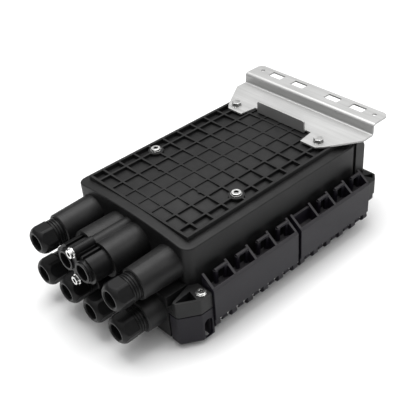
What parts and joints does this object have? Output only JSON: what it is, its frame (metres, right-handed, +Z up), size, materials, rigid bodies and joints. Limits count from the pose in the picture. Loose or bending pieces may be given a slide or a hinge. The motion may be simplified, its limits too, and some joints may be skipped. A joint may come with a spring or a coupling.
{
  "type": "fibre termination box",
  "caption": "Flat ribbed splice closure in latched halves, with screw glands and an oval port at one end and a folded strap bracket on its back",
  "frame": {"origin": "middle of the cover's flat outer face, on the surface that the box lies on", "axes": "+X from the cable ports to the bracket, +Y to the left seen from behind the ports, +Z up out of the ribbed back"},
  "size_m": [0.388, 0.232, 0.1309],
  "materials": {
    "housing_plastic": "fine moulded grain",
    "latch_plastic": "satin moulded",
    "gland_plastic": "satin moulded",
    "ring_plastic": "natural moulded",
    "seal_rubber": "matt",
    "bracket_steel": "rolled sheet",
    "fastener_steel": "bright",
    "pin_steel": "ground",
    "frame_steel": "rolled sheet",
    "tray_plastic": "moulded",
    "lid_plastic": "clear"
  },
  "bodies": {
    "box": {"base_housing": "housing_plastic", "cover_housing": "housing_plastic", "oval_port_cap": "gland_plastic", "housing_gasket": "seal_rubber", "oval_port_seals": "seal_rubber", "gland_seal_1": "seal_rubber", "gland_seal_2": "seal_rubber", "gland_seal_3": "seal_rubber", "gland_seal_4": "seal_rubber", "gland_seal_5": "seal_rubber", "gland_seal_6": "seal_rubber", "mounting_bracket": "bracket_steel", "back_screws": "fastener_steel", "back_washers": "fastener_steel", "corner_screws": "fastener_steel", "corner_washers": "fastener_steel", "oval_cap_screws": "fastener_steel", "oval_cap_washers": "fastener_steel", "frame_nuts": "fastener_steel", "clamp_screws": "fastener_steel", "hinge_pin_right_port": "pin_steel", "hinge_pin_right_bracket": "pin_steel", "hinge_pin_left_port": "pin_steel", "hinge_pin_left_bracket": "pin_steel", "tray_pins": "pin_steel", "carrier_frame": "frame_steel", "tray_holder": "tray_plastic", "splice_tray_1": "tray_plastic", "splice_tray_2": "tray_plastic", "splice_tray_3": "tray_plastic", "splice_combs": "tray_plastic", "cable_clamps": "tray_plastic", "tray_lid": "lid_plastic"},
    "latch_right_port": {"latch_right_port": "latch_plastic"},
    "latch_right_bracket": {"latch_right_bracket": "latch_plastic"},
    "latch_left_port": {"latch_left_port": "latch_plastic"},
    "latch_left_bracket": {"latch_left_bracket": "latch_plastic"},
    "ring_1": {"gland_ring_1": "ring_plastic"},
    "nut_1": {"gland_nut_1": "gland_plastic"},
    "ring_2": {"gland_ring_2": "ring_plastic"},
    "nut_2": {"gland_nut_2": "gland_plastic"},
    "ring_3": {"gland_ring_3": "ring_plastic"},
    "nut_3": {"gland_nut_3": "gland_plastic"},
    "ring_4": {"gland_ring_4": "ring_plastic"},
    "nut_4": {"gland_nut_4": "gland_plastic"},
    "ring_5": {"gland_ring_5": "ring_plastic"},
    "nut_5": {"gland_nut_5": "gland_plastic"},
    "ring_6": {"gland_ring_6": "ring_plastic"},
    "nut_6": {"gland_nut_6": "gland_plastic"}
  },
  "joints": [
    {"name": "latch_right_port_hinge", "type": "hinge", "parent": "box", "child": "latch_right_port", "pos_m": [0, -0.1095, 0.0184], "axis": [1, 0, 0], "range_deg": [0, 95]},
    {"name": "latch_right_bracket_hinge", "type": "hinge", "parent": "box", "child": "latch_right_bracket", "pos_m": [0, -0.1095, 0.0184], "axis": [1, 0, 0], "range_deg": [0, 95]},
    {"name": "latch_left_port_hinge", "type": "hinge", "parent": "box", "child": "latch_left_port", "pos_m": [0, 0.1095, 0.0184], "axis": [-1, 0, 0], "range_deg": [0, 95]},
    {"name": "latch_left_bracket_hinge", "type": "hinge", "parent": "box", "child": "latch_left_bracket", "pos_m": [0, 0.1095, 0.0184], "axis": [-1, 0, 0], "range_deg": [0, 95]},
    {"name": "gland_1_travel", "type": "slide", "parent": "box", "child": "ring_1", "axis": [-1, 0, 0], "range_m": [0, 0.0091]},
    {"name": "gland_1_turn", "type": "hinge", "parent": "ring_1", "child": "nut_1", "pos_m": [-0.2, 0.0645, 0.0821], "axis": [-1, 0, 0], "range_deg": [0, 1080]},
    {"name": "gland_2_travel", "type": "slide", "parent": "box", "child": "ring_2", "axis": [-1, 0, 0], "range_m": [0, 0.0091]},
    {"name": "gland_2_turn", "type": "hinge", "parent": "ring_2", "child": "nut_2", "pos_m": [-0.2, -0.0645, 0.0821], "axis": [-1, 0, 0], "range_deg": [0, 1080]},
    {"name": "gland_3_travel", "type": "slide", "parent": "box", "child": "ring_3", "axis": [-1, 0, 0], "range_m": [0, 0.0091]},
    {"name": "gland_3_turn", "type": "hinge", "parent": "ring_3", "child": "nut_3", "pos_m": [-0.2, 0.0645, 0.0378], "axis": [-1, 0, 0], "range_deg": [0, 1080]},
    {"name": "gland_4_travel", "type": "slide", "parent": "box", "child": "ring_4", "axis": [-1, 0, 0], "range_m": [0, 0.0091]},
    {"name": "gland_4_turn", "type": "hinge", "parent": "ring_4", "child": "nut_4", "pos_m": [-0.2, 0.0215, 0.0378], "axis": [-1, 0, 0], "range_deg": [0, 1080]},
    {"name": "gland_5_travel", "type": "slide", "parent": "box", "child": "ring_5", "axis": [-1, 0, 0], "range_m": [0, 0.0091]},
    {"name": "gland_5_turn", "type": "hinge", "parent": "ring_5", "child": "nut_5", "pos_m": [-0.2, -0.0215, 0.0378], "axis": [-1, 0, 0], "range_deg": [0, 1080]},
    {"name": "gland_6_travel", "type": "slide", "parent": "box", "child": "ring_6", "axis": [-1, 0, 0], "range_m": [0, 0.0091]},
    {"name": "gland_6_turn", "type": "hinge", "parent": "ring_6", "child": "nut_6", "pos_m": [-0.2, -0.0645, 0.0378], "axis": [-1, 0, 0], "range_deg": [0, 1080]}
  ],
  "couplings": [
    {"joint": "gland_1_travel", "follows": "gland_1_turn", "m_per_rad": 0.00047746},
    {"joint": "gland_2_travel", "follows": "gland_2_turn", "m_per_rad": 0.00047746},
    {"joint": "gland_3_travel", "follows": "gland_3_turn", "m_per_rad": 0.00047746},
    {"joint": "gland_4_travel", "follows": "gland_4_turn", "m_per_rad": 0.00047746},
    {"joint": "gland_5_travel", "follows": "gland_5_turn", "m_per_rad": 0.00047746},
    {"joint": "gland_6_travel", "follows": "gland_6_turn", "m_per_rad": 0.00047746}
  ]
}
